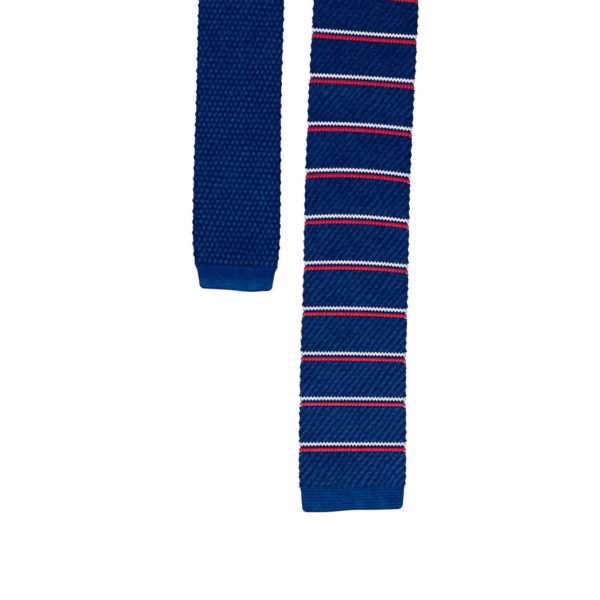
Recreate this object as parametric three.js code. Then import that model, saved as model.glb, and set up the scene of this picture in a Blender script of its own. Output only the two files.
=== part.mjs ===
// A slim knit tie with square ends, hung untied round the neck: a striped front blade, a plain tail
// blade, a hem on each end and the narrow band between them. Millimetres, +Z up. The wearer looks
// along -Y, and the origin is the centre back of the neck, where the band rests on it.
import * as THREE from "three";

// Driving dimensions.
const frontLength = 785.5; // along the tie, from the centre back to the end of the front blade
const tailLength = 667.5; // the same, to the end of the tail blade
const bandHalfLength = 235; // from the centre back to each end of the neck band
const frontWidth = 58; // at its widest, near the end
const tailWidth = 47.6;
const bandWidth = 32;
const bladeThickness = 3.6;
const bandThickness = 3.2;

const neckRadius = 61; // from the neck's axis to the middle of the band at the side of the neck
const neckDepth = 121; // how far in front of the back of the neck the blades hang
const neckDrop = 250; // how far below the back of the neck the blades have come to hang plumb
const bladeSpacing = 65.8; // between the centres of the hanging blades

const hemLength = 13.5;
const hemThickness = 2.8;
const frontHemWidth = 54; // at the very end
const tailHemWidth = 39.8;
const hemCorner = 2.7; // radius of the hem's lower corners

const stripePitch = 24.75;
const firstStripe = 36.1; // from the end of the front blade to the middle of the lowest white stripe
const stripeStep = 3.0; // from the middle of a white stripe down to the middle of its red one
const whiteHeight = 1.8;
const redHeight = 2.0;
const stripeProud = 0.2; // how far a stripe stands out of the knit
const stripeDepth = 0.7; // how deep it is bedded in
const clearance = 0.3; // between pieces that meet

const edgeShare = 0.84; // thickness of a blade at its side edges, as a share of its middle
const bandStep = 13; // between the sections of the neck band
const bladeStep = 26; // between the sections of the tail blade

// Half of the drape, from the centre back of the neck to where a blade hangs plumb. Columns: across,
// a share of neckRadius, and apart, a share of half the blade spacing, give the place to the side.
// forward is a share of neckDepth, and drop a share of neckDrop. The outer face looks backwards at a
// turn of 0 degrees, sideways at 90 and forwards at 180, and lift tilts it up.
const drape = [
  { across: 0.0, apart: 0.0, forward: 0.0, drop: 0.0, turn: 0, lift: 14 },
  { across: 0.5, apart: 0.0, forward: 0.07, drop: 0.012, turn: 32, lift: 17 },
  { across: 0.87, apart: 0.0, forward: 0.27, drop: 0.044, turn: 68, lift: 24 },
  { across: 1.0, apart: 0.0, forward: 0.51, drop: 0.112, turn: 100, lift: 30 },
  { across: 0.65, apart: 0.5, forward: 0.745, drop: 0.208, turn: 132, lift: 34 },
  { across: 0.2, apart: 0.96, forward: 0.91, drop: 0.336, turn: 160, lift: 29 },
  { across: 0.05, apart: 0.99, forward: 0.985, drop: 0.52, turn: 176, lift: 12 },
  { across: 0.0, apart: 1.0, forward: 1.0, drop: 0.76, turn: 180, lift: 0 },
  { across: 0.0, apart: 1.0, forward: 1.0, drop: 1.0, turn: 180, lift: 0 },
];

// How a blade widens from the neck band to its full width, down its length from the band to the end.
const widening = [
  { down: 0.0, front: 0.0, tail: 0.0 },
  { down: 0.15, front: 0.24, tail: 0.23 },
  { down: 0.3, front: 0.62, tail: 0.51 },
  { down: 0.42, front: 0.88, tail: 0.73 },
  { down: 0.52, front: 0.96, tail: 0.86 },
  { down: 0.65, front: 0.955, tail: 0.92 },
  { down: 0.76, front: 0.95, tail: 0.905 },
  { down: 0.83, front: 0.96, tail: 0.96 },
  { down: 0.9, front: 0.985, tail: 0.995 },
  { down: 0.94, front: 1.0, tail: 0.975 },
  { down: 0.97, front: 0.985, tail: 0.83 },
  { down: 1.0, front: 0.96, tail: 0.72 },
];

// How a hem narrows from the blade's width to its own end width.
const hemTaper = [
  { down: 0.0, narrow: 0.38 },
  { down: 0.25, narrow: 0.66 },
  { down: 0.5, narrow: 0.85 },
  { down: 0.75, narrow: 0.97 },
  { down: 1.0, narrow: 1.0 },
];

// How far uneven stretch moves a pair of stripes down the front blade, as a share of their pitch.
const stripeDrift = [
  { down: 0.0, shift: 0.0 },
  { down: 0.4, shift: 0.0 },
  { down: 0.48, shift: 0.0 },
  { down: 0.53, shift: -0.014 },
  { down: 0.57, shift: -0.048 },
  { down: 0.62, shift: -0.013 },
  { down: 0.66, shift: -0.003 },
  { down: 0.75, shift: 0.013 },
  { down: 0.8, shift: 0.019 },
  { down: 0.84, shift: 0.01 },
  { down: 0.89, shift: -0.005 },
  { down: 0.93, shift: -0.011 },
  { down: 1.0, shift: 0.0 },
];

// The slight waves of each hanging blade down its length from the band to the end: aside and forward
// as shares of the blade's width and thickness, slant as the drop of a course to +X per millimetre
// across, and arch as the drop of its two ends, a share of the blade's width.
const frontWaves = [
  { down: 0.0, aside: 0.0, forward: 0.0, slant: 0.0, arch: 0.0 },
  { down: 0.3, aside: 0.03, forward: 0.35, slant: 0.03, arch: 0.006 },
  { down: 0.5, aside: 0.027, forward: -0.25, slant: 0.046, arch: -0.003 },
  { down: 0.6, aside: 0.001, forward: 0.05, slant: 0.034, arch: 0.014 },
  { down: 0.68, aside: -0.012, forward: 0.3, slant: 0.02, arch: 0.027 },
  { down: 0.78, aside: -0.007, forward: 0.05, slant: 0.001, arch: 0.016 },
  { down: 0.84, aside: -0.012, forward: -0.1, slant: -0.01, arch: 0.006 },
  { down: 0.95, aside: 0.003, forward: 0.1, slant: -0.03, arch: 0.001 },
  { down: 1.0, aside: 0.0105, forward: 0.2, slant: -0.056, arch: -0.008 },
];
const tailWaves = [
  { down: 0.0, aside: 0.0, forward: 0.0, slant: 0.0, arch: 0.0 },
  { down: 0.35, aside: 0.012, forward: -0.3, slant: -0.01, arch: 0.0 },
  { down: 0.6, aside: -0.006, forward: 0.3, slant: 0.008, arch: 0.006 },
  { down: 0.8, aside: -0.01, forward: 0.0, slant: 0.012, arch: 0.0 },
  { down: 0.93, aside: -0.001, forward: -0.35, slant: 0.024, arch: 0.002 },
  { down: 1.0, aside: 0.008, forward: 0.1, slant: 0.019, arch: -0.008 },
];

const navy = { color: 0x0b2f66, roughness: 0.88, metalness: 0 };
const white = { color: 0xd3dcea, roughness: 0.85, metalness: 0 };
const red = { color: 0xa32346, roughness: 0.85, metalness: 0 };

// A smooth curve through one column of a table, read at a share of the way down.
function column(table, name) {
  const at = table.map((row) => row.down);
  const values = table.map((row) => row[name]);
  const curve = new THREE.CubicInterpolant(at, values, 1);
  return (down) => curve.evaluate(THREE.MathUtils.clamp(down, 0, 1))[0];
}

const widthOf = { front: column(widening, "front"), tail: column(widening, "tail") };
const hemNarrow = column(hemTaper, "narrow");
const stripeShift = column(stripeDrift, "shift");
const waveColumns = ["aside", "forward", "slant", "arch"];
const wavesOf = {
  front: Object.fromEntries(waveColumns.map((name) => [name, column(frontWaves, name)])),
  tail: Object.fromEntries(waveColumns.map((name) => [name, column(tailWaves, name)])),
};

// The two sides of the tie. Distances along it are counted from the centre back of the neck, to the
// front blade as positive and to the tail as negative.
const sides = {
  front: { name: "front", sign: 1, length: frontLength, width: frontWidth, hemWidth: frontHemWidth },
  tail: { name: "tail", sign: -1, length: tailLength, width: tailWidth, hemWidth: tailHemWidth },
};

// The drape's stations for one side, as points of the centreline and the way the outer face looks.
function station(row, sign) {
  const across = row.across * neckRadius + row.apart * (bladeSpacing / 2);
  const turn = THREE.MathUtils.degToRad(row.turn);
  const lift = THREE.MathUtils.degToRad(row.lift);
  return {
    point: new THREE.Vector3(
      sign * across,
      bandThickness / 2 - row.forward * neckDepth,
      -row.drop * neckDrop,
    ),
    facing: new THREE.Vector3(
      sign * Math.sin(turn) * Math.cos(lift),
      Math.cos(turn) * Math.cos(lift),
      Math.sin(lift),
    ),
  };
}

const stations = [
  ...drape.slice(1).reverse().map((row) => station(row, -1)),
  ...drape.map((row) => station(row, 1)),
];
const centreline = new THREE.CatmullRomCurve3(stations.map((s) => s.point));
const outerFace = new THREE.CatmullRomCurve3(stations.map((s) => s.facing));
centreline.arcLengthDivisions = 1200;
const halfDrape = centreline.getLength() / 2;

// The centreline's point and axes at a distance along the tie. Past the drape it runs straight on.
function placeAt(distance) {
  const inside = THREE.MathUtils.clamp(distance, -halfDrape, halfDrape);
  const t = centreline.getUtoTmapping((inside + halfDrape) / (2 * halfDrape));
  const along = centreline.getTangent(t);
  const across = outerFace.getPoint(t).cross(along).normalize();
  const outward = along.clone().cross(across);
  const point = centreline.getPoint(t).addScaledVector(along, distance - inside);
  return { point, across, outward };
}

// How far down its blade a distance along the tie lies, from the neck band (0) to the end (1).
function downBlade(side, distance) {
  return (Math.abs(distance) - bandHalfLength) / (side.length - bandHalfLength);
}

function sideOf(distance) {
  return distance < 0 ? sides.tail : sides.front;
}

// A point of the tie from its distance along, its place across and its height above the mid layer.
function pointOn(distance, across, outward) {
  const side = sideOf(distance);
  const down = downBlade(side, distance);
  const wave = wavesOf[side.name];
  const slant = wave.slant(down) * across;
  const arch = wave.arch(down) * side.width * (2 * across / side.width) ** 2;
  const place = placeAt(distance + slant + side.sign * arch);
  return place.point
    .addScaledVector(place.across, across + side.sign * wave.aside(down) * side.width)
    .addScaledVector(place.outward, outward + wave.forward(down) * bladeThickness);
}

// Half the width and half the thickness of the tie at a distance along it.
function halfSizes(distance) {
  const side = sideOf(distance);
  const share = widthOf[side.name](downBlade(side, distance));
  return {
    width: THREE.MathUtils.lerp(bandWidth, side.width, share) / 2,
    thickness: THREE.MathUtils.lerp(bandThickness, bladeThickness, share) / 2,
  };
}

// A flat oval with round side edges and crowned faces, as pairs of across and outward.
function outline(halfWidth, halfThickness) {
  const edge = halfThickness * edgeShare;
  const flat = halfWidth - edge;
  const points = [];
  for (const way of [1, -1]) {
    for (const degrees of [-90, -45, 0, 45, 90]) {
      const angle = THREE.MathUtils.degToRad(degrees);
      points.push([way * (flat + edge * Math.cos(angle)), way * edge * Math.sin(angle)]);
    }
    for (const share of [0.5, 0, -0.5]) {
      const crown = THREE.MathUtils.lerp(halfThickness, edge, share * share);
      points.push([way * share * flat, way * crown]);
    }
  }
  return points;
}

// One section of the tie, made smaller all round by inset.
function section(distance, inset = 0, size = halfSizes(distance)) {
  return outline(size.width - inset, size.thickness - inset).map(([across, outward]) =>
    pointOn(distance, across, outward),
  );
}

// Joins sections into one closed body: with flat ends, or back to the first section as a hoop.
function loft(sections, hoop = false) {
  const count = sections[0].length;
  const positions = sections.flat().flatMap((p) => [p.x, p.y, p.z]);
  const faces = [];
  const spans = hoop ? sections.length : sections.length - 1;
  for (let i = 0; i < spans; i++) {
    const here = i * count;
    const next = ((i + 1) % sections.length) * count;
    for (let j = 0; j < count; j++) {
      const k = (j + 1) % count;
      faces.push(here + j, here + k, next + k, here + j, next + k, next + j);
    }
  }
  if (!hoop) {
    const last = (sections.length - 1) * count;
    for (let j = 1; j < count - 1; j++) {
      faces.push(0, j + 1, j, last, last + j, last + j + 1);
    }
  }
  const geometry = new THREE.BufferGeometry();
  geometry.setAttribute("position", new THREE.Float32BufferAttribute(positions, 3));
  geometry.setIndex(faces);
  geometry.computeVertexNormals();
  return geometry;
}

// Evenly spaced distances from one place along the tie to another, both ends included.
function spaced(from, to, step) {
  const count = Math.max(2, Math.ceil(Math.abs(to - from) / step));
  return Array.from({ length: count + 1 }, (_, i) => THREE.MathUtils.lerp(from, to, i / count));
}

// The narrow band that lies round the neck, between the two blades.
function neckBand() {
  const end = bandHalfLength - clearance / 2;
  return loft(spaced(-end, end, bandStep).map((distance) => section(distance)));
}

// Where each white stripe's middle lies, from the end of the front blade up to the neck band.
function stripePlaces() {
  const places = [];
  const top = bandHalfLength + whiteHeight / 2 + 2 * clearance;
  for (let at = frontLength - firstStripe; at > top; at -= stripePitch) {
    places.push(at + stripePitch * stripeShift(downBlade(sides.front, at)));
  }
  return places;
}

// The last sections of a blade, closer together where it narrows above its hem.
function bladeEnd(side) {
  const end = side.length - hemLength - clearance / 2;
  return [1, 0.6, 0.3, 0].map((share) => section(side.sign * (end - share * hemLength)));
}

// The front blade, with a groove all round for each pair of stripes.
function frontBlade() {
  const start = bandHalfLength + clearance / 2;
  const depth = stripeDepth + clearance;
  const sections = [section(start)];
  for (const at of stripePlaces().reverse()) {
    const top = at - whiteHeight / 2 - clearance;
    const bottom = at + stripeStep + redHeight / 2 + clearance;
    sections.push(section(top), section(top, depth), section(bottom, depth), section(bottom));
  }
  sections.push(...bladeEnd(sides.front));
  return loft(sections);
}

// A hoop of contrast yarn that fills its part of the groove and stands a little proud of the knit.
function stripe(middle, height) {
  const top = middle - height / 2;
  const bottom = middle + height / 2;
  return loft(
    [
      section(top, stripeDepth),
      section(top, -stripeProud),
      section(bottom, -stripeProud),
      section(bottom, stripeDepth),
    ],
    true,
  );
}

// The plain tail blade.
function tailBlade() {
  const start = -(bandHalfLength + clearance / 2);
  const end = -(tailLength - 3 * hemLength);
  const sections = spaced(start, end, bladeStep).map((distance) => section(distance));
  sections.push(...bladeEnd(sides.tail));
  return loft(sections.reverse());
}

// The band of plain knit on a blade's end. It tapers, with round lower corners and a folded edge.
function hem(side) {
  const length = hemLength - clearance / 2;
  const sizeAbove = (above) => {
    const narrow = hemNarrow(1 - above / hemLength);
    const width = THREE.MathUtils.lerp(side.width, side.hemWidth, narrow) / 2;
    const fold = hemThickness / 2;
    const inCorner = Math.max(0, 1 - above / hemCorner);
    const inFold = Math.max(0, 1 - above / fold);
    return {
      width: width - hemCorner * (1 - Math.sqrt(1 - inCorner ** 2)),
      thickness: fold * Math.max(0.4, Math.sqrt(1 - inFold ** 2)),
    };
  };
  const cornerAngles = [75, 50, 25, 0].map(THREE.MathUtils.degToRad);
  const heights = [
    length,
    0.75 * hemLength,
    0.5 * hemLength,
    ...cornerAngles.map((angle) => hemCorner * (1 - Math.cos(angle))),
  ];
  const sections = heights.map((above) =>
    section(side.sign * (side.length - above), 0, sizeAbove(above)),
  );
  return loft(side.sign > 0 ? sections : sections.reverse());
}

const tie = new THREE.Group();

function add(name, geometry, finish) {
  const mesh = new THREE.Mesh(geometry, new THREE.MeshStandardMaterial(finish));
  mesh.name = name;
  tie.add(mesh);
}

add("neck_band", neckBand(), navy);
add("front_blade", frontBlade(), navy);
add("front_hem", hem(sides.front), navy);
add("tail_blade", tailBlade(), navy);
add("tail_hem", hem(sides.tail), navy);
stripePlaces().forEach((middle, i) => {
  const number = String(i + 1).padStart(2, "0");
  add("white_stripe_" + number, stripe(middle, whiteHeight), white);
  add("red_stripe_" + number, stripe(middle + stripeStep, redHeight), red);
});

export default tie;
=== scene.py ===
"""Looks of a slim knit tie with square ends, hung untied round the neck.

The tie is one knitted tube pressed flat. Each piece of it is a grid of points: one way runs round the
tube, the other along it, and the stitches are real relief on that grid. Lengths are in metres, +Z is up,
the wearer faces -Y and the origin is the centre back of the neck.
"""

import logging
import math
from collections.abc import Sequence
from dataclasses import dataclass
from enum import Enum

import bpy
import numpy as np
from mathutils import Matrix, Vector


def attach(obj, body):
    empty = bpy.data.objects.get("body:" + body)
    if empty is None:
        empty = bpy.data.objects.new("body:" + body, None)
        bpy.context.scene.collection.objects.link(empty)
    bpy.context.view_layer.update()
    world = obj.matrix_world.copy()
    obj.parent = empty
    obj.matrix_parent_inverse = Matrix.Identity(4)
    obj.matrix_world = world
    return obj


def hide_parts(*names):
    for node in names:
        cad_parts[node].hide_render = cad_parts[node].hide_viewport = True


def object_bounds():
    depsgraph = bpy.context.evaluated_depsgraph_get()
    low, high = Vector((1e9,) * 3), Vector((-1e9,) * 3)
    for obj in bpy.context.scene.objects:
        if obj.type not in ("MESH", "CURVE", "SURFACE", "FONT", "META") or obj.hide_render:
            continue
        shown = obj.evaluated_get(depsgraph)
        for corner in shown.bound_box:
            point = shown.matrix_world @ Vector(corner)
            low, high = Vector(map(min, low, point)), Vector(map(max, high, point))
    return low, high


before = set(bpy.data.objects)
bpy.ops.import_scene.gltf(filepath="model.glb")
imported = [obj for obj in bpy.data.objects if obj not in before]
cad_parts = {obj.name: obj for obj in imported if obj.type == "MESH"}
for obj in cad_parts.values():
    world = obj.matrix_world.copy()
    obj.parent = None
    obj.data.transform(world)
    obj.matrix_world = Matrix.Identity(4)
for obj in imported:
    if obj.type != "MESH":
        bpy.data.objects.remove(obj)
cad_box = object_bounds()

log = logging.getLogger("knit_tie")

MM = 0.001
Array = np.ndarray
Colour = tuple[float, float, float]
Table = tuple[tuple[float, float], ...]


class Side(Enum):
    """Which way from the centre back of the neck a stretch of the tie runs."""

    FRONT = 1
    TAIL = -1


@dataclass(frozen=True)
class TieSizes:
    """The tie's driving sizes.

    The two lengths run along the tie from the centre back of the neck, first_stripe runs up from the
    front blade's end to the lowest white stripe, and stripe_step from a white stripe down to its red
    one. The heights of the stripes and their clearance bound the groove that each pair lies in,
    stripe_depth is how deep a hoop is bedded in it, and edge_share is the thickness of the tube's side
    edges as a share of its middle's.
    """

    front_length: float = 785.5 * MM
    tail_length: float = 667.5 * MM
    band_half_length: float = 235 * MM
    front_width: float = 58.3 * MM
    tail_width: float = 47.9 * MM
    band_width: float = 32 * MM
    blade_thickness: float = 3.6 * MM
    band_thickness: float = 3.2 * MM
    neck_radius: float = 61 * MM
    neck_depth: float = 121 * MM
    neck_drop: float = 250 * MM
    blade_spacing: float = 65.8 * MM
    hem_length: float = 13.5 * MM
    hem_thickness: float = 2.8 * MM
    front_hem_width: float = 54.9 * MM
    tail_hem_width: float = 39.8 * MM
    hem_corner: float = 2.7 * MM
    stripe_pitch: float = 24.75 * MM
    first_stripe: float = 36.1 * MM
    stripe_step: float = 3.1 * MM
    white_height: float = 1.8 * MM
    red_height: float = 2.1 * MM
    stripe_depth: float = 0.7 * MM
    clearance: float = 0.3 * MM
    edge_share: float = 0.84


@dataclass(frozen=True)
class DrapeRow:
    """A station of half the drape, as shares of the neck's sizes and two angles in degrees.

    across is a share of the neck's radius and apart one of half the blade spacing; the outer face looks
    backwards at a turn of 0, sideways at 90 and forwards at 180, and lift tilts it up.
    """

    across: float
    apart: float
    forward: float
    drop: float
    turn: float
    lift: float


@dataclass(frozen=True)
class WidthRow:
    """How far a blade has widened from the neck band's width, at a share of its length down."""

    down: float
    front: float
    tail: float


@dataclass(frozen=True)
class WaveRow:
    """The slight waves of a hanging blade at a share of its length down.

    aside and forward are shares of its width and thickness, slant is the drop of a course to +X per
    metre across, and arch the drop of the course's two ends as a share of the width.
    """

    down: float
    aside: float
    forward: float
    slant: float
    arch: float


DRAPE = (
    DrapeRow(0.0, 0.0, 0.0, 0.0, 0, 14),
    DrapeRow(0.5, 0.0, 0.07, 0.012, 32, 17),
    DrapeRow(0.87, 0.0, 0.27, 0.044, 68, 24),
    DrapeRow(1.0, 0.0, 0.51, 0.112, 100, 30),
    DrapeRow(0.65, 0.5, 0.745, 0.208, 132, 34),
    DrapeRow(0.2, 0.96, 0.91, 0.336, 160, 29),
    DrapeRow(0.05, 0.99, 0.985, 0.52, 176, 12),
    DrapeRow(0.0, 1.0, 1.0, 0.76, 180, 0),
    DrapeRow(0.0, 1.0, 1.0, 1.0, 180, 0),
)
WIDENING = (
    WidthRow(0.0, 0.0, 0.0),
    WidthRow(0.15, 0.24, 0.23),
    WidthRow(0.3, 0.62, 0.51),
    WidthRow(0.42, 0.88, 0.73),
    WidthRow(0.52, 0.96, 0.86),
    WidthRow(0.65, 0.955, 0.92),
    WidthRow(0.76, 0.95, 0.905),
    WidthRow(0.83, 0.96, 0.96),
    WidthRow(0.9, 0.985, 0.995),
    WidthRow(0.94, 1.0, 0.975),
    WidthRow(0.97, 0.985, 0.83),
    WidthRow(1.0, 0.96, 0.72),
)
# How far a hem has narrowed towards its end width, at a share of its length down.
HEM_TAPER = ((0.0, 0.38), (0.25, 0.66), (0.5, 0.85), (0.75, 0.97), (1.0, 1.0))
# How far uneven stretch moves a pair of stripes down the front blade, as a share of the pitch, at a
# share of the blade's length down.
STRIPE_DRIFT = (
    (0.0, 0.0),
    (0.4, 0.0),
    (0.48, 0.04),
    (0.53, -0.014),
    (0.57, -0.048),
    (0.62, -0.013),
    (0.66, -0.01),
    (0.75, 0.011),
    (0.8, 0.019),
    (0.84, 0.01),
    (0.89, -0.005),
    (0.93, -0.011),
    (1.0, 0.0),
)
# How much paler and thinner a red hoop is, at a share of the front blade's length down.
RED_FADE = (
    (0.0, 0.0),
    (0.72, 0.02),
    (0.8, 0.15),
    (0.85, 0.17),
    (0.89, 0.28),
    (0.93, 0.19),
    (1.0, 0.19),
)
FRONT_WAVES = (
    WaveRow(0.0, 0.0, 0.0, 0.0, 0.0),
    WaveRow(0.3, 0.03, 0.35, 0.03, 0.006),
    WaveRow(0.47, 0.031, -0.15, 0.078, 0.012),
    WaveRow(0.53, 0.019, -0.2, 0.044, -0.003),
    WaveRow(0.6, 0.001, 0.05, 0.034, 0.014),
    WaveRow(0.68, -0.012, 0.3, 0.02, 0.03),
    WaveRow(0.78, -0.007, 0.05, 0.001, 0.016),
    WaveRow(0.84, -0.012, -0.1, -0.01, 0.006),
    WaveRow(0.95, 0.003, 0.1, -0.03, 0.001),
    WaveRow(1.0, 0.0138, 0.2, -0.056, -0.008),
)
TAIL_WAVES = (
    WaveRow(0.0, 0.0, 0.0, 0.0, 0.0),
    WaveRow(0.35, 0.012, -0.3, -0.01, 0.0),
    WaveRow(0.6, -0.006, 0.3, 0.008, 0.006),
    WaveRow(0.8, -0.01, 0.0, 0.012, 0.0),
    WaveRow(0.93, -0.001, -0.35, 0.024, 0.002),
    WaveRow(1.0, 0.008, 0.1, 0.019, -0.008),
)


def unit(vectors: Array) -> Array:
    """Vectors along the last axis, each divided by its own length."""
    return vectors / np.linalg.norm(vectors, axis=-1, keepdims=True)


class SmoothColumn:
    """A smooth curve through one column of a table.

    Between two rows it is the cubic that meets both with the mean of the straight slopes on their two
    sides; at the table's ends the slope is level.
    """

    def __init__(self, at: Sequence[float], values: Sequence[float]) -> None:
        """Keeps the rows and works out the slope at each.

        Args:
            at: where the rows lie, rising.
            values: the column's values.
        """
        self.at, self.values = np.array(at, float), np.array(values, float)
        straight = np.diff(self.values) / np.diff(self.at)
        self.slopes = np.concatenate([[0.0], (straight[:-1] + straight[1:]) / 2, [0.0]])

    def __call__(self, x: Array) -> Array:
        """The column at x, held at the end rows' values beyond them.

        Args:
            x: places to read.

        Returns:
            The values there.
        """
        x = np.clip(x, self.at[0], self.at[-1])
        i = np.clip(np.searchsorted(self.at, x, side="right") - 1, 0, len(self.at) - 2)
        span = self.at[i + 1] - self.at[i]
        t = (x - self.at[i]) / span
        return (
            self.values[i] * (1 + 2 * t) * (1 - t) ** 2
            + self.values[i + 1] * t**2 * (3 - 2 * t)
            + span * (self.slopes[i] * t * (1 - t) ** 2 + self.slopes[i + 1] * t**2 * (t - 1))
        )


def through(table: Table) -> SmoothColumn:
    """The smooth curve through a table whose rows are a place and a value."""
    at, values = zip(*table)
    return SmoothColumn(at, values)


class SmoothPath:
    """A centripetal Catmull-Rom curve through points, read by how many points it has passed."""

    TOUCHING = 1e-4

    def __init__(self, points: Array) -> None:
        """Adds a mirrored point before the first and after the last.

        Args:
            points: the points, one a row.
        """
        first, last = 2 * points[0] - points[1], 2 * points[-1] - points[-2]
        self.points = np.vstack([first, points, last])
        self.last_span = len(points) - 2

    def cubic(self, passed: Array) -> tuple[Array, list[Array]]:
        """The cubic that each reading lies on.

        The slope at a point weighs its two neighbours by the square roots of their distances. Points
        that all but touch take the middle gap's root, or 1, instead of their own.

        Args:
            passed: how many points the curve has passed.

        Returns:
            The share of the span, and the cubic's four coefficients.
        """
        span = np.clip(np.floor(passed).astype(int), 0, self.last_span)
        a, b, c, d = (self.points[span + k] for k in range(4))
        first, second, third = (
            np.sqrt(np.linalg.norm(q - p, axis=-1, keepdims=True)) for p, q in ((a, b), (b, c), (c, d))
        )
        middle = np.where(second < self.TOUCHING, 1.0, second)
        before, after = (np.where(gap < self.TOUCHING, middle, gap) for gap in (first, third))
        start = middle * ((b - a) / before - (c - a) / (before + middle) + (c - b) / middle)
        end = middle * ((c - b) / middle - (d - b) / (middle + after) + (d - c) / after)
        share = (passed - span)[..., None]
        return share, [b, start, -3 * b + 3 * c - 2 * start - end, 2 * b - 2 * c + start + end]

    def at(self, passed: Array) -> Array:
        """The points of the curve after passing a number of its points."""
        t, k = self.cubic(passed)
        return k[0] + t * (k[1] + t * (k[2] + t * k[3]))

    def slope(self, passed: Array) -> Array:
        """The curve's direction after passing a number of its points."""
        t, k = self.cubic(passed)
        return unit(k[1] + t * (2 * k[2] + 3 * t * k[3]))


class Drape:
    """The tie's centreline round the neck and down both sides, with the way its outer face looks."""

    SAMPLES = 4001

    def __init__(self, sizes: TieSizes) -> None:
        """Builds both halves of the drape from its table.

        Args:
            sizes: the tie's sizes.
        """
        table = np.array([[r.across, r.apart, r.forward, r.drop, r.turn, r.lift] for r in DRAPE])
        across, apart, forward, drop, turn, lift = table.T
        turn, lift = np.radians(turn), np.radians(lift)
        points = np.stack(
            [
                across * sizes.neck_radius + apart * sizes.blade_spacing / 2,
                sizes.band_thickness / 2 - forward * sizes.neck_depth,
                -drop * sizes.neck_drop,
            ],
            1,
        )
        faces = np.stack([np.sin(turn) * np.cos(lift), np.cos(turn) * np.cos(lift), np.sin(lift)], 1)
        mirror = np.array([-1, 1, 1])
        self.line = SmoothPath(np.vstack([points[:0:-1] * mirror, points]))
        self.face = SmoothPath(np.vstack([faces[:0:-1] * mirror, faces]))
        self.passed = np.linspace(0, 2 * len(points) - 2, self.SAMPLES)
        steps = np.linalg.norm(np.diff(self.line.at(self.passed), axis=0), axis=1)
        run = np.concatenate([[0.0], np.cumsum(steps)])
        self.run = run - run[-1] / 2

    def place(self, distance: Array) -> tuple[Array, Array, Array]:
        """The centreline and its axes. Past the drape's ends it runs straight on.

        Args:
            distance: along the tie from the centre back, towards the front blade as positive.

        Returns:
            The points, the unit vectors across the tie and those out of its outer face.
        """
        inside = np.clip(distance, self.run[0], self.run[-1])
        passed = np.interp(inside, self.run, self.passed)
        along = self.line.slope(passed)
        across = unit(np.cross(self.face.at(passed), along))
        point = self.line.at(passed) + along * (distance - inside)[..., None]
        return point, across, np.cross(along, across)


class TieForm:
    """Places a point of the tie from its course, its place across and its height off the mid layer."""

    def __init__(self, sizes: TieSizes) -> None:
        """Prepares the drape and the columns of the width and wave tables.

        Args:
            sizes: the tie's sizes.
        """
        self.sizes = sizes
        self.drape = Drape(sizes)
        down = [row.down for row in WIDENING]
        self.share = {
            Side.FRONT: SmoothColumn(down, [row.front for row in WIDENING]),
            Side.TAIL: SmoothColumn(down, [row.tail for row in WIDENING]),
        }
        self.waves = {
            side: {
                name: SmoothColumn([row.down for row in rows], [getattr(row, name) for row in rows])
                for name in ("aside", "forward", "slant", "arch")
            }
            for side, rows in ((Side.FRONT, FRONT_WAVES), (Side.TAIL, TAIL_WAVES))
        }

    def length(self, side: Side) -> float:
        """How far along the tie its end on one side lies."""
        return self.sizes.front_length if side is Side.FRONT else self.sizes.tail_length

    def width(self, side: Side) -> float:
        """The full width of the blade on one side."""
        return self.sizes.front_width if side is Side.FRONT else self.sizes.tail_width

    def down(self, side: Side, course: Array) -> Array:
        """How far down its blade a course lies, from the neck band (0) to the end (1)."""
        start = self.sizes.band_half_length
        return (course - start) / (self.length(side) - start)

    def half_sizes(self, side: Side, course: Array) -> tuple[Array, Array]:
        """Half the width and half the thickness of the tie at a course.

        Args:
            side: the side of the tie.
            course: distance along the tie from the centre back.

        Returns:
            Half the width, and half the thickness.
        """
        s, share = self.sizes, self.share[side](self.down(side, course))
        width = s.band_width + share * (self.width(side) - s.band_width)
        thickness = s.band_thickness + share * (s.blade_thickness - s.band_thickness)
        return width / 2, thickness / 2

    def points(self, side: Side, course: Array, across: Array, outward: Array) -> Array:
        """Points of the tie. A course slants by its place across, and arches by the square of it.

        Args:
            side: the side of the tie.
            course: distance along the tie from the centre back.
            across: place across the tie, positive to +X on both hanging blades.
            outward: height above the mid layer, positive to the outer face.

        Returns:
            The points, with a last axis of three.
        """
        down, wave, width = self.down(side, course), self.waves[side], self.width(side)
        arch = wave["arch"](down) * width * (2 * across / width) ** 2
        distance = side.value * (course + wave["slant"](down) * across + arch)
        point, sideways, out = self.drape.place(distance)
        aside = across + wave["aside"](down) * width
        height = outward + wave["forward"](down) * self.sizes.blade_thickness
        return point + side.value * aside[..., None] * sideways + height[..., None] * out


def oval(turn: Array, half_width: Array, half_thickness: Array, edge_share: float) -> tuple[Array, ...]:
    """A flat oval with round side edges and slightly crowned faces, by the share of the way round.

    It starts at the middle of the +across edge and goes over the outer face first. The way round is two
    half circles and two faces, and the faces rise from the edge's height to the full one as one less
    the square of the place across.

    Args:
        turn: share of the way round, 0 to 1.
        half_width: half the width.
        half_thickness: half the thickness at the middle.
        edge_share: the edge's thickness as a share of the middle's.

    Returns:
        Across, outward, and the two parts of the normal.
    """
    edge = half_thickness * edge_share
    flat = half_width - edge
    quarter, face = edge * math.pi / 2, 2 * flat
    way = turn * (4 * quarter + 2 * face)
    first = way < quarter
    outer = (way >= quarter) & (way < quarter + face)
    far = (way >= quarter + face) & (way < 3 * quarter + face)
    inner = (way >= 3 * quarter + face) & (way < 3 * quarter + 2 * face)
    parts = [first, outer, far, inner]
    angle = np.select(parts, [way, quarter, way - face, 3 * quarter], way - 2 * face) / edge
    inward = way - 3 * quarter - face - flat
    middle = np.select(parts, [flat, flat - (way - quarter), -flat, inward], flat)
    crown = (half_thickness - edge) * (1 - (middle / flat) ** 2)
    across = middle + edge * np.cos(angle)
    outward = (edge + crown) * np.sin(angle)
    return across, outward, np.cos(angle), np.sin(angle)


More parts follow.
